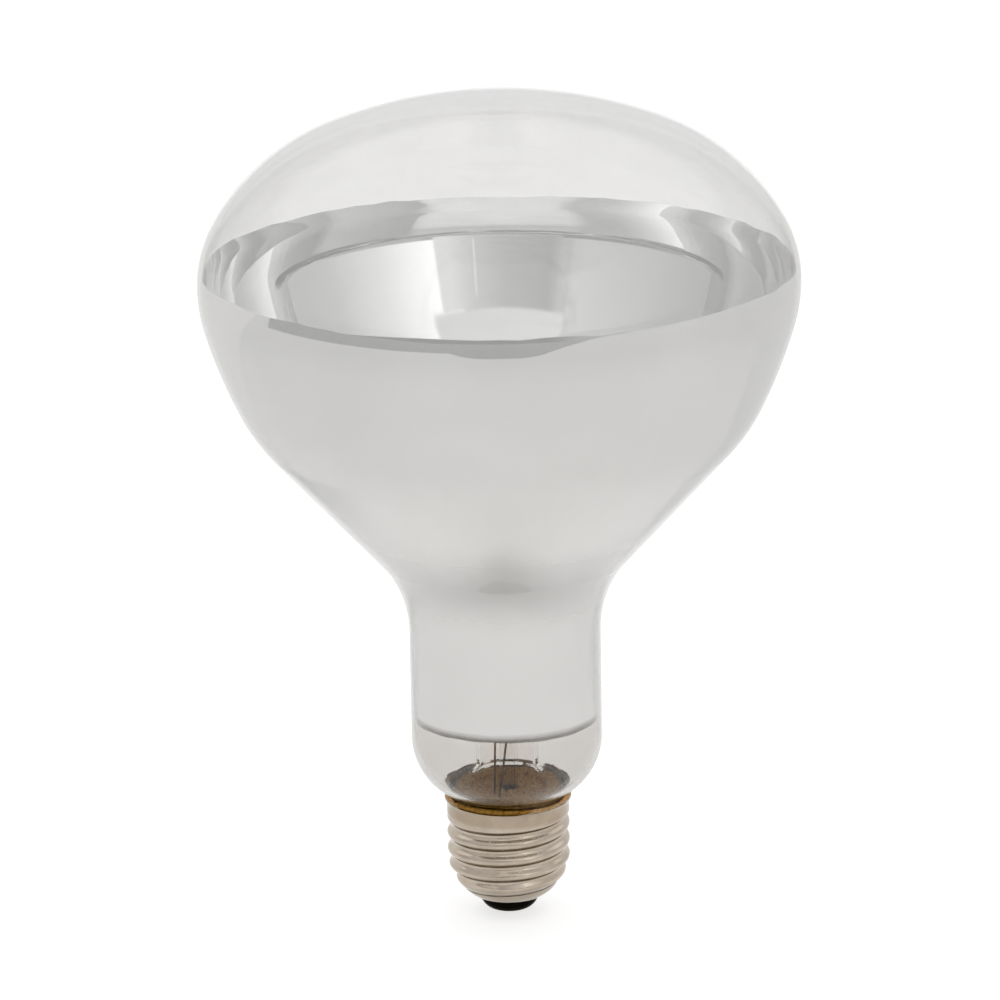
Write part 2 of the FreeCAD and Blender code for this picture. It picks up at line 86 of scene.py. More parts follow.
def bulb_moves():
    """Arcs as radius and turn, and straight runs as length and 0, from the top of the dome to the seal."""
    dome_turn = shoulder_turn + dome_edge_turn
    edge_reach = dome_edge_radius * (cos(shoulder_turn) - cos(dome_turn))
    shoulder_reach = shoulder_radius * (1 - cos(shoulder_turn))
    dome_radius = (bulb_radius - (edge_reach + shoulder_reach)) / cos(dome_turn)
    hip_start = brow_turn + side_turn
    hip_end = (
        bulb_radius
        - brow_radius * (1 - cos(brow_turn))
        - side_radius * (cos(brow_turn) - cos(hip_start))
        - hip_radius * (cos(hip_start) - cos(cone_angle))
    )
    cone_run = (hip_end - throat_radius * (1 - cos(cone_angle)) - neck_radius) / sin(cone_angle)
    heel_turn = math.degrees(math.acos(1 - (neck_radius - waist_radius) / (heel_radius + waist_bend_radius)))
    return [
        (dome_radius, dome_turn - 90),
        (dome_edge_radius, -dome_edge_turn),
        (shoulder_radius, -shoulder_turn),
        (brow_radius, -brow_turn),
        (side_radius, -side_turn),
        (hip_radius, hip_start - cone_angle),
        (cone_run, 0),
        (throat_radius, cone_angle),
        (neck_length, 0),
        (heel_radius, -heel_turn),
        (waist_bend_radius, heel_turn),
        (waist_top - seal_height, 0),
    ]


def meridian(depth, step=1.4, turn_step=1.5):
    """Radius and height of points down the bulb, at that depth under its outer skin."""
    place = np.array([0.0, overall_length - depth])
    heading = 0.0
    points = [place]
    for size, turn in bulb_moves():
        if turn == 0:
            count = math.ceil(size / step)
            way = np.array([cos(heading), sin(heading)])
            points += [place + way * size * n / count for n in range(1, count + 1)]
        else:
            side = math.copysign(1, turn)
            radius = size + side * depth
            count = math.ceil(max(abs(turn) / turn_step, math.radians(abs(turn)) * radius / step))
            centre = place + np.array([-sin(heading), cos(heading)]) * side * radius
            for n in range(1, count + 1):
                now = heading + turn * n / count
                points.append(centre + np.array([sin(now), -cos(now)]) * side * radius)
            heading += turn
        place = points[-1]
    return np.array(points)


def smooth(low, high, value):
    share = np.clip((value - low) / (high - low), 0, 1)
    return share * share * (3 - 2 * share)


def unevenness(turn, height):
    """How far the blown glass falls short of its true circle, in millimetres."""
    depth = 0.05
    cone_end, cone_full, dome_full, dome_end = 62, 90, 144, 160
    waves = [
        (0.5, 2, 0.6, 0.0),
        (0.34, 3, 2.1, 0.02),
        (0.2, 5, -0.7, -0.03),
        (0.1, 8, 1.3, 0.05),
        (0.05, 13, 0.0, 0.08),
    ]
    hollow = 0
    for size, count, start, lean in waves:
        hollow = hollow + size * (1 + np.sin(count * turn + start + lean * height))
    place = smooth(cone_end, cone_full, height) * (1 - smooth(dome_full, dome_end, height))
    return depth * hollow * place


# Mesh helpers

def place_piece(name, mesh, instead=()):
    piece = bpy.data.objects.new(name, mesh)
    scene.collection.objects.link(piece)
    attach(piece, "root")
    if instead:
        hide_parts(*instead)
    return piece


def add_piece(name, verts, faces, instead=()):
    mesh = bpy.data.meshes.new(name)
    mesh.from_pydata([tuple(v) for v in verts], [], faces)
    mesh.update()
    mesh.polygons.foreach_set("use_smooth", [True] * len(mesh.polygons))
    return place_piece(name, mesh, instead)


def angles_round(segments):
    return np.arange(segments) * 2 * math.pi / segments


def lathe(radius, height, segments, closed):
    """Points and faces of a turned form. Rows go along the profile and columns round the axis."""
    turns = angles_round(segments)
    verts, rows = [], []
    for ring_radius, ring_height in zip(radius, height):
        start = len(verts)
        if np.max(np.abs(ring_radius)) < axis_radius:
            verts.append((0.0, 0.0, float(np.mean(ring_height)) * MM))
            rows.append([start] * segments)
        else:
            places = zip(ring_radius * np.cos(turns) * MM, ring_radius * np.sin(turns) * MM, ring_height * MM)
            verts += list(places)
            rows.append(list(range(start, start + segments)))
    pairs = list(zip(rows, rows[1:]))
    if closed:
        pairs.append((rows[-1], rows[0]))
    faces = []
    for upper, lower in pairs:
        for n in range(segments):
            m = (n + 1) % segments
            face = list(dict.fromkeys([upper[n], lower[n], lower[m], upper[m]]))
            if len(face) > 2:
                faces.append(face)
    return verts, faces


# Glass envelope

def make_glass():
    smallest_ring = 0.02
    around = angles_round(glass_segments)
    profile = np.vstack([meridian(0), meridian(glass_wall)[::-1]])
    true_radius = profile[:, 0:1]
    height = profile[:, 1:2] + 0 * around
    radius = np.maximum(true_radius - unevenness(around, height), smallest_ring)
    radius = np.where(true_radius > axis_radius, radius, 0)
    verts, faces = lathe(radius, height, glass_segments, False)
    return add_piece("bulb_glass", verts, faces, ["glass_envelope"])


# Mirror film

def ripple(around, waves):
    return sum(size * np.sin(count * around + start) for size, count, start in waves)


def film_edges(around):
    """Heights of the film's nicked upper edge and of its wavy lower edge."""
    top_margin, bottom_margin = 0.15, 0.3
    nick_count, nick_depth, nick_seed = 96, 0.3, 21
    nicks = np.random.default_rng(nick_seed).uniform(-1, 1, nick_count)
    nicks = np.interp(around, np.linspace(0, 2 * math.pi, nick_count + 1), np.append(nicks, nicks[0]))
    nicks = nick_depth * nicks * (0.7 + ripple(around, [(0.3, 3, 0.8)]))
    top = film_top - top_margin + ripple(around, [(0.1, 7, 0.4), (0.06, 19, 1.9)]) + nicks
    bottom = film_bottom + bottom_margin + ripple(around, [(0.12, 3, 1.0), (0.06, 17, 0.0)])
    return top, bottom


def film_skin(depth, around, top, bottom):
    """Radius and height of one side of the film. A second row close to the first keeps its top edge crisp."""
    rows, edge_row, crowding, margin, step = 76, 0.0004, 0.12, 4, 0.5
    line = meridian(depth, step, step)[::-1]
    line = line[(line[:, 1] > film_bottom - margin) & (line[:, 1] < film_top + margin)]
    share = np.insert(np.linspace(0, 1, rows), 1, edge_row)[:, None]
    share = share + crowding * np.sin(2 * math.pi * share) / (2 * math.pi)
    height = top + (bottom - top) * share
    radius = np.interp(height.ravel(), line[:, 1], line[:, 0]).reshape(height.shape)
    return radius - unevenness(around, height), height


def make_film():
    taper, edge_share = 0.4, 0.06
    around = angles_round(film_segments)
    top, bottom = film_edges(around)
    outer_radius, outer_height = film_skin(glass_wall + film_gap, around, top, bottom)
    inner_radius, inner_height = film_skin(glass_wall + film_gap + film_thickness, around, top, bottom)
    thickness = smooth(0, taper, np.minimum(top - inner_height, inner_height - bottom))
    thickness = edge_share + (1 - edge_share) * thickness
    inner_radius = outer_radius + (inner_radius - outer_radius) * thickness
    radius = np.vstack([outer_radius, inner_radius[::-1]])
    height = np.vstack([outer_height, inner_height[::-1]])
    verts, faces = lathe(radius, height, film_segments, True)
    return add_piece("mirror_film", verts, faces, ["reflector_film"])


# Putty and resin squeezed out of the collar, up the outside of the glass

def glass_radius(height):
    neck_height = 50
    line = meridian(0, step=0.3, turn_step=0.5)[::-1]
    line = line[(line[:, 1] > waist_top) & (line[:, 1] < neck_height)]
    return np.interp(height, line[:, 1], line[:, 0])


def notched(place):
    """Depth of the two gaps that the putty has at the back, at that place across the lamp."""
    gaps = [(-4.8, 1.9, 1.5), (7.2, 1.7, 1.3)]
    return sum(depth * np.clip(1 - np.abs(place - middle) / half, 0, 1) for middle, depth, half in gaps)


def squeezed_ring(name, seed, first, last, rise, jag, width, gaps, taper):
    """A ragged ring on the collar's rim, against the glass, from the first to the last angle."""
    segments, jag_count = 300, 46
    jag_up, jag_fine, lump = 0.7 * jag, 0.26 * jag, 0.2 * jag
    rim_gap, glass_gap, foot, least_rise, thin_share, start_taper = 0.02, 0.06, 0.05, 0.15, 0.35, 0.1
    rim_inset, overhang = 0.1, 0.5
    inner_side = [(0, 0), (0.5, 0), (1, 0)]
    outer_side = [(0.94, 0.5), (0.55, 1), (0, 1)]
    section = inner_side + outer_side
    share = np.linspace(0, 1, segments)
    turn = np.radians(first + (last - first) * share)
    rough = np.random.default_rng(seed)
    jags = np.interp(share * jag_count, np.arange(jag_count + 1), rough.uniform(-jag, jag_up, jag_count + 1))
    jags = jags + rough.uniform(-jag_fine, jag_fine, segments)
    lumps = np.abs(rough.uniform(-lump, lump, (len(section), segments)))
    lumps[: len(inner_side)] = 0
    swell = smooth(0, start_taper, share) * (1 - smooth(taper, 1, share))
    base = cap_height + cement_bead + rim_gap
    height = np.maximum(rise + jags - gaps * notched(rim_radius * np.cos(turn)), least_rise)
    top = base + foot + height * swell
    verts, faces = [], []
    for (level, out), lumpy in zip(section, lumps):
        z = base + (top - base) * level
        reach = glass_radius(z) + glass_gap + out * width * (thin_share + (1 - thin_share) * swell)
        reach = np.minimum(reach, rim_radius - rim_inset + overhang * level) + lumpy
        verts += list(zip(reach * np.cos(turn) * MM, reach * np.sin(turn) * MM, z * MM))
    starts = [row * segments for row in range(len(section))]
    for here, there in zip(starts, starts[1:] + starts[:1]):
        faces += [[here + n, there + n, there + n + 1, here + n + 1] for n in range(segments - 1)]
    faces.append(starts[::-1])
    faces.append([start + segments - 1 for start in starts])
    return add_piece(name, verts, faces)


def make_putty():
    return squeezed_ring(
        "squeezed_putty", seed=8, first=-28.0, last=205.0, rise=2.0, jag=0.5, width=0.75, gaps=1.0, taper=0.9
    )


def make_resin_bead():
    return squeezed_ring(
        "resin_bead", seed=5, first=207.0, last=325.0, rise=0.75, jag=0.12, width=1.05, gaps=0.0, taper=0.4
    )


# Cement under the stem

def unevenly(place, coarse, fine, fine_share):
    return noise.noise(place / coarse) + fine_share * noise.noise(place / fine)


def make_cement():
    """The cement of the cap, with its shelf under the stem broken into crumbs."""
    longest_edge, rounds, weld = 0.9 * MM, 4, 1e-6
    shelf_radius, shelf_foot, shelf_rise = 11.6, 27.2, 1.0
    drop, lump_drop = 0.7, 1.1
    source = nodes["capping_cement"]
    work = bmesh.new()
    work.from_mesh(source.data)
    work.transform(source.matrix_world)
    bmesh.ops.remove_doubles(work, verts=work.verts, dist=weld)
    for _ in range(rounds):
        long = [edge for edge in work.edges if edge.calc_length() > longest_edge]
        bmesh.ops.subdivide_edges(work, edges=long, cuts=1)
        bmesh.ops.triangulate(work, faces=work.faces)
    for vert in work.verts:
        radius, height = math.hypot(vert.co.x, vert.co.y) / MM, vert.co.z / MM
        if radius < shelf_radius and height > shelf_foot:
            lump = unevenly(vert.co, 1.7 * MM, 0.6 * MM, 0.6)
            share = min(1.0, (height - shelf_foot) / shelf_rise)
            vert.co.z -= (drop + lump_drop * abs(lump)) * share * MM
    mesh = bpy.data.meshes.new("crumbled_cement")
    work.to_mesh(mesh)
    work.free()
    return place_piece("crumbled_cement", mesh, ["capping_cement"])


def make_crumbs():
    """Crumbs of cement that close the hole round the exhaust tube, where the leads run in."""
    tube_gap, hole_gap = 0.15, 0.08
    floor_height, crumb_height, swing, pattern = 24.4, 27.1, 0.75, 3.0
    rings, segments = 22, 220
    around = angles_round(segments)
    radii = np.linspace(exhaust_tube_radius + tube_gap, cement_hole_radius - hole_gap, rings)
    floor_row = np.full(segments, floor_height)
    rows = [floor_row]
    for radius in radii:
        spots = [Vector((radius * math.cos(t), radius * math.sin(t), pattern)) for t in around]
        rows.append(crumb_height + swing * np.array([unevenly(spot, 1.3, 0.5, 0.7) for spot in spots]))
    rows.append(floor_row)
    radii = np.concatenate([radii[:1], radii, radii[-1:]])
    verts, faces = lathe(radii[:, None] + 0 * around, np.array(rows), segments, True)
    return add_piece("cement_crumbs", verts, faces)


# Coiled filament

def filament_corners():
    """Corners of the filament's route over its supports, with a short tail past the first and the last."""
    tail = 1.3
    start = 270 + (360 - filament_sweep) / 2
    angles = [start + filament_sweep * n / (filament_supports + 1) for n in range(filament_supports + 2)]
    ring, height = filament_ring_radius, filament_height
    corners = [np.array([ring * cos(a), ring * sin(a), height]) for a in angles]
    for end, beside in ((0, 1), (-1, -2)):
        way = corners[end] - corners[beside]
        corners[end] = corners[end] + tail * way / np.linalg.norm(way)
    return corners


def coil_points(wire):
    """Points along the coiled wire. Each span sags a little between its supports."""
    pitch, per_turn, sag = 0.34, 14, 0.25
    up = np.array([0, 0, 1])
    corners = filament_corners()
    lengths = [np.linalg.norm(b - a) for a, b in zip(corners, corners[1:])]
    stations = np.cumsum([0] + lengths)
    total = sum(lengths)
    count = int(total / pitch * per_turn)
    loop = filament_coil_radius - wire
    points = []
    for n in range(count + 1):
        along = total * n / count
        span = min(int(np.searchsorted(stations, along, "right")) - 1, len(lengths) - 1)
        way = (corners[span + 1] - corners[span]) / lengths[span]
        side = np.array([-way[1], way[0], 0])
        turn = 2 * math.pi * n / per_turn
        drop = sag * math.sin(math.pi * (along - stations[span]) / lengths[span])
        middle = corners[span] + way * (along - stations[span]) - up * drop
        points.append(middle + loop * (side * math.cos(turn) + up * math.sin(turn)))
    return np.array(points)


def make_filament():
    wire, sides = 0.11, 6
    points = coil_points(wire)
    ways = np.gradient(points, axis=0)
    ways /= np.linalg.norm(ways, axis=1)[:, None]
    verts, faces = [], []
    for point, way in zip(points, ways):
        a = np.cross(way, [0, 0, 1.0])
        a /= np.linalg.norm(a)
        b = np.cross(way, a)
        verts += [(point + wire * (a * math.cos(t) + b * math.sin(t))) * MM for t in angles_round(sides)]
    for n in range(len(points) - 1):
        for side in range(sides):
            m = (side + 1) % sides
            faces.append([n * sides + side, n * sides + m, (n + 1) * sides + m, (n + 1) * sides + side])
    faces.append(list(range(sides))[::-1])
    faces.append([(len(points) - 1) * sides + side for side in range(sides)])
    return add_piece("coiled_filament", verts, faces, ["filament"])


# Node trees

def grey(level):
    return (level, level, level)


class Tree:
    """The node tree of a material or of the world, with its shader."""

    def __init__(self, owner, shader, place):
        owner.use_nodes = True
        self.owner = owner
        self.nodes = owner.node_tree.nodes
        self.shader = self.nodes[shader]
        self.place = self.nodes.new("ShaderNodeTexCoord").outputs[place]

    def link(self, source, target):
        self.owner.node_tree.links.new(source, target)

    def feed(self, socket, source):
        self.link(source, self.shader.inputs[socket])

    def add(self, kind, inputs=(), **settings):
        node = self.nodes.new(kind)
        for key, value in settings.items():
            setattr(node, key, value)
        for key, value in dict(inputs).items():
            if hasattr(value, "is_output"):
                self.link(value, node.inputs[key])
            else:
                node.inputs[key].default_value = value
        return node

    def stretched(self, scale):
        return self.add("ShaderNodeMapping", {"Vector": self.place, "Scale": scale}).outputs["Vector"]

    def noise(self, scale, detail=3.0, roughness=0.5, vector=None):
        inputs = {"Vector": vector or self.place, "Scale": scale, "Detail": detail, "Roughness": roughness}
        return self.add("ShaderNodeTexNoise", inputs).outputs["Fac"]

    def ramp(self, source, *stops):
        node = self.add("ShaderNodeValToRGB", {"Fac": source})
        points = node.color_ramp.elements
        while len(points) < len(stops):
            points.new(0.5)
        for point, (where, colour) in zip(points, stops):
            point.position = where
            point.color = (*colour, 1)
        return node.outputs["Color"]

    def greys(self, source, *stops):
        return self.ramp(source, *[(where, grey(level)) for where, level in stops])

    def span(self, source, low, high, out_low=0.0, out_high=1.0, kind="LINEAR"):
        inputs = {"Value": source, "From Min": low, "From Max": high, "To Min": out_low, "To Max": out_high}
        return self.add("ShaderNodeMapRange", inputs, interpolation_type=kind).outputs["Result"]

    def soft_span(self, source, low, high, out_low=0.0, out_high=1.0):
        return self.span(source, low, high, out_low, out_high, "SMOOTHSTEP")

    def between(self, source, low, high, soft):
        """1 between the two values and 0 outside, with soft edges."""
        rise = self.soft_span(source, low - soft, low + soft)
        fall = self.soft_span(source, high - soft, high + soft, 1.0, 0.0)
        return self.times(rise, fall)

    def math(self, operation, a, b=None):
        inputs = {0: a} if b is None else {0: a, 1: b}
        return self.add("ShaderNodeMath", inputs, operation=operation).outputs["Value"]

    def plus(self, a, b):
        return self.math("ADD", a, b)

    def minus(self, a, b):
        return self.math("SUBTRACT", a, b)

    def times(self, a, b):
        return self.math("MULTIPLY", a, b)

    def mix(self, share, a, b):
        node = self.nodes.new("ShaderNodeMix")
        node.data_type = "RGBA"
        for socket, value in zip((node.inputs[0], node.inputs[6], node.inputs[7]), (share, a, b)):
            if hasattr(value, "is_output"):
                self.link(value, socket)
            else:
                socket.default_value = (*value, 1)
        return node.outputs[2]

    def axes(self):
        node = self.add("ShaderNodeSeparateXYZ", {"Vector": self.place})
        return node.outputs["X"], node.outputs["Y"], node.outputs["Z"]

    def bearing(self, x, y):
        """Angle from straight in front of the lamp, positive to the right, in radians."""
        return self.math("ARCTAN2", x, self.times(y, -1.0))

    def bump(self, height, distance, strength):
        node = self.add("ShaderNodeBump", {"Height": height, "Distance": distance, "Strength": strength})
        self.feed("Normal", node.outputs["Normal"])

    def paint(self, *objects):
        for target in objects:
            target.data.materials.clear()
            target.data.materials.append(self.owner)


def new_material(name, **sockets):
    tree = Tree(bpy.data.materials.new(name), "Principled BSDF", "Object")
    for key, value in sockets.items():
        tree.shader.inputs[key.replace("_", " ")].default_value = value
    return tree


# Materials. Places in them are in metres

film_end = film_bottom * MM
thread_end = thread_top * MM


def glass_material(name, ior, clear, cloudy, low):
    """Clear glass with a faint veil. Below the mirror film it has its own tint and shines less."""
    tree = new_material(name, IOR=ior, Transmission_Weight=1.0)
    veil = tree.noise(26.0, 4.0, 0.55)
    height = tree.axes()[2]
    silvered = tree.span(height, film_end - 0.6 * MM, film_end + 1.9 * MM)
    tree.feed("Base Color", tree.mix(silvered, low, tree.ramp(veil, (0.35, cloudy), (0.62, clear))))
    tree.feed("Specular Tint", tree.mix(silvered, grey(0.5), grey(1.0)))
    tree.feed("Roughness", tree.span(tree.noise(420.0, 2.0), 0.55, 0.85, 0.0, 0.02))
    return tree


def paint_bulb(glass):
    tree = glass_material("blown_glass", 1.48, grey(0.985), grey(0.965), (0.9, 0.885, 0.865))
    body = tree.add("ShaderNodeVolumeAbsorption", {"Color": (*grey(0.02), 1), "Density": 150.0})
    tree.link(body.outputs["Volume"], tree.nodes["Material Output"].inputs["Volume"])
    tree.paint(glass)


def paint_stem():
    tree = glass_material("stem_glass", 1.04, (0.97, 0.965, 0.955), (0.94, 0.935, 0.92), (0.96, 0.95, 0.94))
    tree.paint(nodes["stem_flare"], nodes["exhaust_tube"], nodes["arbor"])


def paint_film(film):
    """Silver that is hazy in the neck, most of all at the throat, and thins out at its lower edge."""
    tree = new_material("vapour_mirror", Metallic=1.0)
    cloud = tree.noise(18.0, 4.0, 0.6)
    height = tree.axes()[2]
    silver = tree.ramp(cloud, (0.3, (0.86, 0.86, 0.85)), (0.65, (0.9, 0.9, 0.895)))
    silver = tree.mix(tree.span(height, 0.075, 0.11), (0.96, 0.955, 0.945), silver)
    ragged = tree.plus(height, tree.span(cloud, 0.3, 0.7, -0.4 * MM, 0.4 * MM))
    fringe = tree.span(ragged, film_end + 0.5 * MM, film_end + 2.1 * MM)
    tree.feed("Base Color", tree.mix(fringe, (0.4, 0.385, 0.37), silver))
    cone_haze = tree.span(height, 0.07, 0.1, 0.1, 0.0)
    throat_haze = tree.span(tree.between(height, 0.072, 0.088, 0.008), 0, 1, 0, 0.4)
    specks = tree.span(tree.noise(60.0, 3.0), 0.4, 0.75, 0.0, 0.02)
    tree.feed("Roughness", tree.plus(tree.plus(cone_haze, throat_haze), specks))
    tree.feed("Alpha", tree.span(height, film_end, film_end + 1.1 * MM, 0.25, 1.0))
    tree.paint(film)


def thread_dirt_and_shade(tree, x, y, z):
    """Dirt and painted shade along the root of the thread, which climbs by the pitch in each turn."""
    root_middle = (thread_root_front + 0.55) * MM
    turns = tree.math("DIVIDE", tree.bearing(x, y), 2 * math.pi)
    climb = tree.math("DIVIDE", tree.minus(z, root_middle), thread_pitch * MM)
    off_root = tree.math("PINGPONG", tree.plus(tree.minus(climb, turns), 20.0), 0.5)
    threaded = tree.span(z, thread_end - 0.9 * MM, thread_end + 0.5 * MM, 1.0, 0.0)
    # Painted shade and dirt: the colour darkens in a band along the thread's root, where the root lies in
    # shade.
    dirt_and_shade = tree.times(tree.soft_span(off_root, 0.02, 0.1, 1.0, 0.0), threaded)
    return tree.times(dirt_and_shade, tree.span(tree.noise(300.0, 3.0), 0.25, 0.6, 0.65, 1.0))


def paint_shell():
    """Worn plating, rubbed round the axis, with painted shade: the collar is coloured darker, and the thread
    has dirt and painted shade along its root.
    """
    tree = new_material("worn_nickel", Metallic=1.0)
    x, y, z = tree.axes()
    tarnish = tree.noise(180.0, 5.0, 0.6)
    plating = tree.ramp(tarnish, (0.3, (0.39, 0.33, 0.265)), (0.7, (0.5, 0.435, 0.365)))
    # Painted shade: the collar is coloured darker than the threaded part.
    shaded_collar = tree.ramp(tarnish, (0.3, (0.33, 0.265, 0.2)), (0.7, (0.41, 0.34, 0.265)))
    plating = tree.mix(tree.span(z, thread_end - 0.3 * MM, thread_end + 0.4 * MM), plating, shaded_collar)
    dirt_and_shade = thread_dirt_and_shade(tree, x, y, z)
    tree.feed("Base Color", tree.mix(dirt_and_shade, plating, (0.1, 0.075, 0.05)))
    rubbed = tree.noise(1.0, 3.0, 0.6, tree.stretched((250.0, 250.0, 2600.0)))
    tree.feed("Roughness", tree.plus(tree.span(rubbed, 0.3, 0.7, 0.06, 0.14), tree.times(dirt_and_shade, 0.35)))
    tree.bump(rubbed, 0.03 * MM, 0.5)
    tree.paint(nodes["cap_shell"])


def paint_insulator():
    tree = new_material("black_glass", IOR=1.5, Specular_IOR_Level=0.01)
    speckle = tree.noise(500.0, 3.0)
    tree.feed("Base Color", tree.ramp(speckle, (0.3, (0.004, 0.003, 0.002)), (0.75, (0.009, 0.007, 0.005))))
    tree.feed("Roughness", tree.span(tree.noise(700.0, 3.0), 0.3, 0.75, 0.05, 0.2))
    tree.paint(nodes["cap_insulator"])


def paint_cement(*pieces):
    """Grainy brown cement, with amber resin where it stands proud at the front of the rim."""
    tree = new_material("brown_cement", Specular_IOR_Level=0.25)
    grain = tree.noise(1500.0, 4.0, 0.7)
    dark, brown, pale = (0.42, 0.22, 0.08), (0.82, 0.5, 0.22), (0.95, 0.7, 0.42)
    cement = tree.ramp(grain, (0.32, dark), (0.52, brown), (0.72, pale))
    resin = tree.ramp(grain, (0.35, (0.2, 0.09, 0.012)), (0.65, (0.55, 0.29, 0.035)))
    x, y, z = tree.axes()
    front = tree.span(tree.plus(y, tree.times(x, 0.3)), -11.2 * MM, -9.8 * MM, 1.0, 0.0)
    proud = tree.times(front, tree.span(z, (cap_height - 0.5) * MM, (cap_height - 0.1) * MM))
    tree.feed("Base Color", tree.mix(proud, cement, resin))
    tree.feed("Roughness", tree.span(grain, 0.3, 0.7, 0.55, 0.9))
    tree.bump(grain, 0.4 * MM, 0.8)
    tree.paint(*pieces)


def paint_wire(name, dark, light, rough, *pieces):
    tree = new_material(name, Metallic=1.0)
    tree.feed("Base Color", tree.ramp(tree.noise(900.0, 3.0), (0.3, dark), (0.7, light)))
    tree.feed("Roughness", tree.span(tree.noise(2000.0, 2.0), 0.3, 0.7, rough - 0.1, rough + 0.1))
    tree.paint(*pieces)


def paint_wires(filament):
    supports = [nodes[f"filament_support_{n}"] for n in range(1, filament_supports + 1)]
    inner = [nodes["inner_lead_right"], nodes["inner_lead_left"]]
    seals = [nodes["seal_wire_right"], nodes["seal_wire_left"]]
    outer = [nodes["outer_lead_centre"], nodes["outer_lead_side"]]
    solder = [nodes["centre_solder"], nodes["side_solder"]]
    paint_wire("dark_tungsten", (0.2, 0.2, 0.21), (0.36, 0.36, 0.37), 0.4, filament)
    paint_wire("support_molybdenum", (0.34, 0.34, 0.35), (0.48, 0.48, 0.48), 0.35, *supports)
    paint_wire("nickel_lead", (0.45, 0.43, 0.4), (0.6, 0.58, 0.55), 0.3, *inner)
    paint_wire("oxidised_copper", (0.13, 0.09, 0.06), (0.3, 0.2, 0.13), 0.5, *seals, *outer)
    paint_wire("contact_brass", (0.45, 0.33, 0.16), (0.65, 0.5, 0.28), 0.35, nodes["contact_plate"])
    paint_wire("solder", (0.36, 0.36, 0.36), (0.56, 0.56, 0.56), 0.35, *solder)


# Floor. Places on it are in metres, with the lamp at the middle

def far_floor(tree, bright, reach, turn):
    """The dark far side of the floor in front. Its edge curls away to both sides, less far on the left."""
    near_edge, curl, half_turn = 0.59, 0.58, 22.0
    left_from, left_to, left_edge, no_edge = -96, -18, 0.86, 9.0
    dark_level = 0.13
    square = tree.math("POWER", tree.math("DIVIDE", turn, half_turn), 2.0)
    edge = tree.plus(tree.times(tree.times(square, square), curl), near_edge)
    left = tree.span(tree.between(turn, left_from, left_to, 1.5), 0, 1, no_edge, left_edge)
    past = tree.minus(reach, tree.math("MINIMUM", edge, left))
    return tree.mix(tree.soft_span(past, -0.01, 0.02), bright, grey(dark_level))


def floor_behind(tree, bright, x, y):
    """A seam across the floor behind the lamp, a darker zone beyond it and a painted shadow, a dark streak on
    the left.
    """
    seam_left, seam_right, seam_slant, seam_strength = 0.095, 0.078, 0.16, 0.2
    left_level, right_level, mark_level = 0.5, 0.44, 0.1
    shadow_streak_left, shadow_streak_right, shadow_streak_lean = -0.087, -0.07, 0.12
    slant = tree.times(tree.math("ABSOLUTE", x), seam_slant)
    past_seam = tree.minus(tree.minus(y, slant), tree.span(x, -0.02, 0.02, seam_left, seam_right))
    zone = tree.mix(tree.span(x, -0.05, 0.05), grey(left_level), grey(right_level))
    bright = tree.mix(tree.span(past_seam, -0.001, 0.002), bright, zone)
    seam = tree.times(tree.between(past_seam, -0.005, 0.0, 0.0015), seam_strength)
    # Painted shadow: a dark streak on the floor behind the lamp to the left, darker further back.
    shadow_streak = tree.between(tree.plus(x, tree.times(y, shadow_streak_lean)), shadow_streak_left, shadow_streak_right, 0.012)
    ends = tree.times(tree.between(y, 0.04, 0.18, 0.03), tree.span(y, 0.02, 0.16, 0.12, 0.5))
    seam_and_shadow = tree.math("MAXIMUM", seam, tree.times(shadow_streak, ends))
    return tree.mix(seam_and_shadow, bright, grey(mark_level))


def floor_through_neck(tree, bright, x, y):
    """The strip of floor behind the lamp that shows through the clear neck."""
    half_width, edge_width, widening = 0.035, 0.05, 0.25
    near_level, far_level = 0.58, 0.66
    aside = tree.minus(tree.math("ABSOLUTE", x), tree.times(y, widening))
    strip = tree.times(tree.span(aside, half_width, edge_width, 1.0, 0.0), tree.span(y, 0.01, 0.03))
    return tree.mix(strip, bright, tree.span(y, 0.2, 0.35, near_level, far_level))


def paint_floor(floor):
    """Plain white for the camera, with a faint painted shadow round the lamp. Metal and glass see the zones
    above, with a painted shadow at the lamp's foot.
    """
    apron_reach = 0.5
    apron = [(0.04, 0.7), (0.09, 0.6), (0.15, 0.53), (0.34, 0.46), (0.48, 0.42)]
    warm_white, white = (1.0, 0.985, 0.96), grey(1.0)
    tree = new_material("pale_floor", Roughness=0.9)
    x, y = tree.axes()[:2]
    reach = tree.math("SQRT", tree.plus(tree.times(x, x), tree.times(y, y)))
    turn = tree.math("DEGREES", tree.bearing(x, y))
    stops = [(distance / apron_reach, level) for distance, level in apron]
    bright = tree.greys(tree.span(reach, 0.0, apron_reach), *stops)
    bright = far_floor(tree, bright, reach, turn)
    bright = floor_behind(tree, bright, x, y)
    bright = floor_through_neck(tree, bright, x, y)
    # Painted shadow: the glow that metal and glass see is dimmed close round the lamp's foot.
    bright = tree.times(bright, tree.soft_span(reach, 0.013, 0.022, 0.75, 1.0))
    # Painted shadow for the camera: the floor's glow is a little lower near the lamp.
    plain_with_shadow = tree.soft_span(reach, 0.01, 0.05, 0.65, 0.68)
    seen = tree.add("ShaderNodeLightPath").outputs
    mirrored = tree.math("MAXIMUM", seen["Is Glossy Ray"], seen["Is Transmission Ray"])
    glow = tree.plus(tree.times(bright, mirrored), tree.times(plain_with_shadow, seen["Is Camera Ray"]))
    tree.feed("Base Color", tree.greys(tree.noise(3.0), (0.3, 0.45), (0.7, 0.46)))
    tree.feed("Emission Color", tree.mix(seen["Is Camera Ray"], warm_white, white))
    tree.feed("Emission Strength", glow)
    tree.paint(floor)


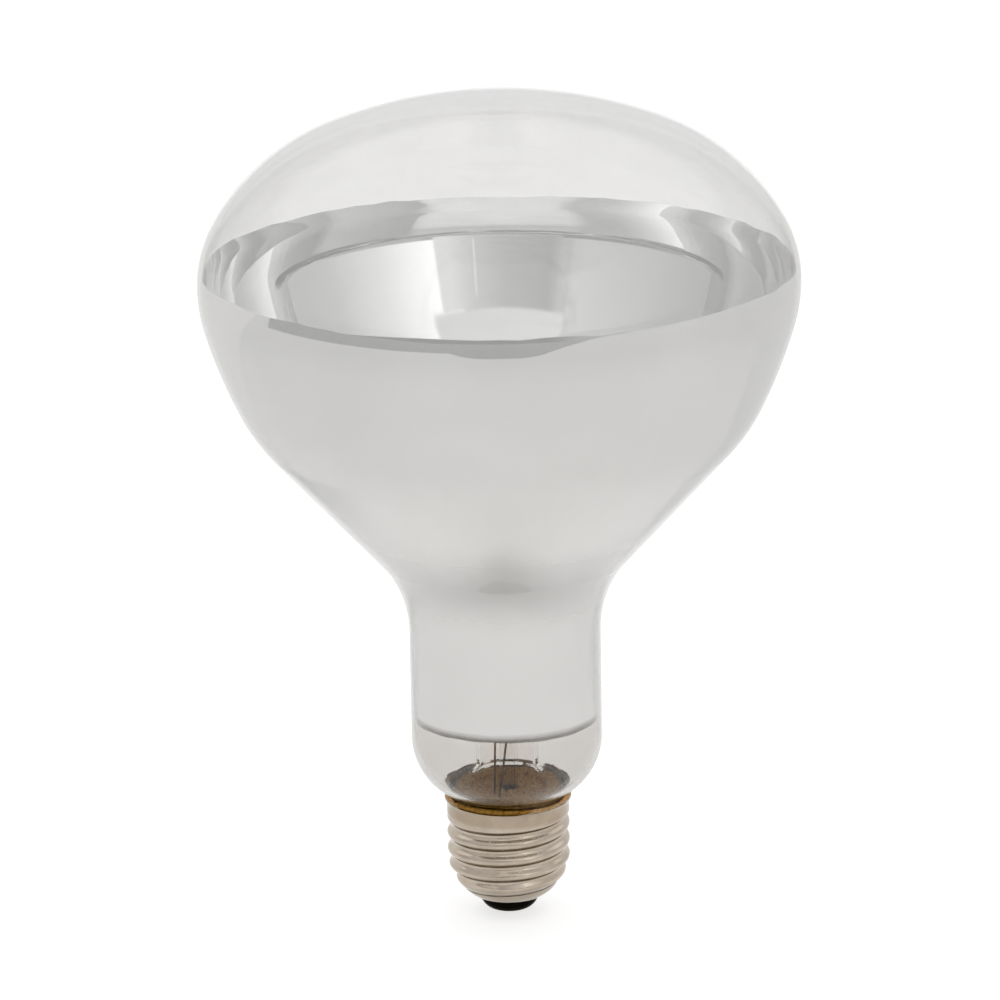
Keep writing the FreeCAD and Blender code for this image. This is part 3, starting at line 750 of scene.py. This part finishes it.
def make_floor():
    half = 6.0
    mesh = bpy.data.meshes.new("floor")
    corners = [(-half, -half, 0), (half, -half, 0), (half, half, 0), (-half, half, 0)]
    mesh.from_pydata(corners, [], [[0, 1, 2, 3]])
    floor = bpy.data.objects.new("floor", mesh)
    scene.collection.objects.link(floor)
    paint_floor(floor)


# Studio. Each window has its left, right, bottom and top in degrees, and the softness of sides and ends

right_screen = (16, 104, 5, 52, 1.5, 1.5)
left_screen = (-110, -31, 5, 52, 1.5, 1.5)
ceiling = (-31, 31, 31, 62, 1.5, 1.0)
hood = (-26, 26, 5, 31, 1.0, 0.7)
hood_slit = (9.4, 10.4, 8, 28, 0.3, 1.0)


def low_sky(tree, turn):
    """Greys of the sky just above the floor, from the left round to the right of the front."""
    left, right = -110, 40
    levels = [(-104, 0.72), (-80, 0.66), (-62, 0.53), (18, 0.53), (32, 0.73)]
    stops = [((where - left) / (right - left), level) for where, level in levels]
    return tree.greys(tree.span(turn, left, right), *stops)


def make_world():
    """A soft studio: white behind, a bright screen to the right, paler ones above and to the left."""
    scene.world = bpy.data.worlds.new("studio")
    tree = Tree(scene.world, "Background", "Generated")
    x, y, z = tree.axes()
    turn = tree.math("DEGREES", tree.bearing(x, y))
    rise = tree.math("DEGREES", tree.math("ARCSINE", z))
    away = tree.math("ABSOLUTE", turn)

    def window(left, right, bottom, top, side_soft, end_soft):
        across = tree.between(turn, left, right, side_soft)
        return tree.times(across, tree.between(rise, bottom, top, end_soft))

    light = tree.mix(tree.soft_span(away, 108, 122), grey(0.85), grey(1.0))
    above = tree.times(tree.soft_span(rise, 24, 32), tree.soft_span(away, 95, 125))
    light = tree.mix(above, light, grey(1.3))
    glare = tree.greys(tree.span(turn, 27, 90), (0.0, 1.75), (0.38, 1.23), (0.75, 0.93), (1.0, 0.88))
    light = tree.mix(window(*right_screen), light, glare)
    paler = tree.mix(tree.span(turn, -95, -38), grey(0.76), grey(0.95))
    light = tree.mix(window(*left_screen), light, paler)
    low = tree.times(tree.between(turn, -104, 74, 6), tree.soft_span(rise, 6.5, 8, 1.0, 0.0))
    light = tree.mix(low, light, low_sky(tree, turn))
    light = tree.mix(window(*ceiling), light, grey(1.15))
    across_hood = tree.span(turn, hood[0], hood[1])
    shade = tree.greys(across_hood, (0.0, 0.8), (0.08, 0.7), (0.45, 0.8), (0.7, 0.95), (0.9, 1.2))
    shade = tree.mix(window(*hood_slit), shade, grey(1.15))
    light = tree.mix(window(*hood), light, shade)
    seen = tree.add("ShaderNodeLightPath").outputs
    tree.feed("Color", tree.mix(seen["Is Camera Ray"], light, grey(1.0)))


# Camera

def make_camera():
    place, target = Vector((-0.0006, -1.0398, 0.4094)), Vector((-0.0006, 0.0, 0.0915))
    roll = Matrix.Rotation(math.radians(-1.0), 3, "Z").to_quaternion()
    camera = bpy.data.objects.new("camera", bpy.data.cameras.new("camera"))
    scene.collection.objects.link(camera)
    camera.data.sensor_width = 36.0
    camera.data.lens = 187.2
    camera.data.clip_end = 50.0
    camera.location = place
    camera.rotation_mode = "QUATERNION"
    camera.rotation_quaternion = (target - place).to_track_quat("-Z", "Y") @ roll
    scene.camera = camera


# Whole scene

paint_bulb(make_glass())
paint_film(make_film())
paint_cement(make_putty(), make_resin_bead(), make_cement(), make_crumbs())
paint_wires(make_filament())
paint_stem()
paint_shell()
paint_insulator()
make_floor()
make_world()
make_camera()

scene.view_settings.view_transform = "Standard"
scene.world.cycles.sampling_method = "NONE"
scene.cycles.max_bounces = 14
scene.cycles.glossy_bounces = 8
scene.cycles.transmission_bounces = 14
scene.cycles.transparent_max_bounces = 8
